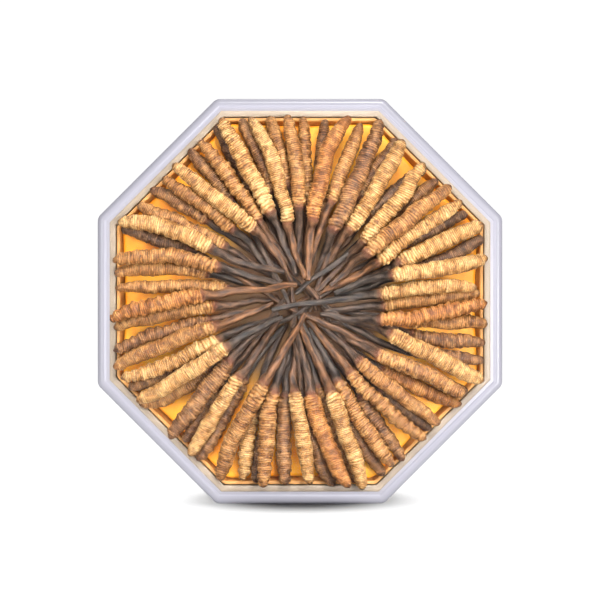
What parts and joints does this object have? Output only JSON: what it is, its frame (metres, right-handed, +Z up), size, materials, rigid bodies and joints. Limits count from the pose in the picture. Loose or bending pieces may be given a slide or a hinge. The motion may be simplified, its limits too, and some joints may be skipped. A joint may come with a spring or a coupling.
{
  "type": "dried cordyceps in a clear octagonal case",
  "caption": "Dried cordyceps laid like spokes on an amber satin cushion, in a clear octagonal case with a lift-off lid.",
  "frame": {"origin": "middle of the footprint, under the bottom flat of the octagon that the case stands on", "axes": "+X to the right, +Z up, +Y from the lid towards the back of the base; the lid faces -Y"},
  "size_m": [0.12, 0.028, 0.12],
  "materials": {
    "clear_plastic": "clear moulded polystyrene, polished",
    "amber_cloth": "satin weave, soft sheen",
    "dried_fungus": "dry, ribbed and matte, with dark wrinkled stalks"
  },
  "bodies": {
    "root": {"case_lid": "clear_plastic", "case_base": "clear_plastic", "cloth_tray": "amber_cloth", "cushion": "amber_cloth", "cordyceps_01": "dried_fungus", "cordyceps_02": "dried_fungus", "cordyceps_03": "dried_fungus", "cordyceps_04": "dried_fungus", "cordyceps_05": "dried_fungus", "cordyceps_06": "dried_fungus", "cordyceps_07": "dried_fungus", "cordyceps_08": "dried_fungus", "cordyceps_09": "dried_fungus", "cordyceps_10": "dried_fungus", "cordyceps_11": "dried_fungus", "cordyceps_12": "dried_fungus", "cordyceps_13": "dried_fungus", "cordyceps_14": "dried_fungus", "cordyceps_15": "dried_fungus", "cordyceps_16": "dried_fungus", "cordyceps_17": "dried_fungus", "cordyceps_18": "dried_fungus", "cordyceps_19": "dried_fungus", "cordyceps_20": "dried_fungus", "cordyceps_21": "dried_fungus", "cordyceps_22": "dried_fungus", "cordyceps_23": "dried_fungus", "cordyceps_24": "dried_fungus", "cordyceps_25": "dried_fungus", "cordyceps_26": "dried_fungus", "cordyceps_27": "dried_fungus", "cordyceps_28": "dried_fungus", "cordyceps_29": "dried_fungus", "cordyceps_30": "dried_fungus", "cordyceps_31": "dried_fungus", "cordyceps_32": "dried_fungus", "cordyceps_33": "dried_fungus", "cordyceps_34": "dried_fungus", "cordyceps_35": "dried_fungus", "cordyceps_36": "dried_fungus", "cordyceps_37": "dried_fungus", "cordyceps_38": "dried_fungus", "cordyceps_39": "dried_fungus", "cordyceps_40": "dried_fungus", "cordyceps_41": "dried_fungus", "cordyceps_42": "dried_fungus", "cordyceps_43": "dried_fungus", "cordyceps_44": "dried_fungus", "cordyceps_45": "dried_fungus", "cordyceps_46": "dried_fungus", "cordyceps_47": "dried_fungus", "cordyceps_48": "dried_fungus", "cordyceps_49": "dried_fungus", "cordyceps_50": "dried_fungus", "cordyceps_51": "dried_fungus", "cordyceps_52": "dried_fungus", "cordyceps_53": "dried_fungus", "cordyceps_54": "dried_fungus", "cordyceps_55": "dried_fungus", "cordyceps_56": "dried_fungus"}
  },
  "joints": []
}
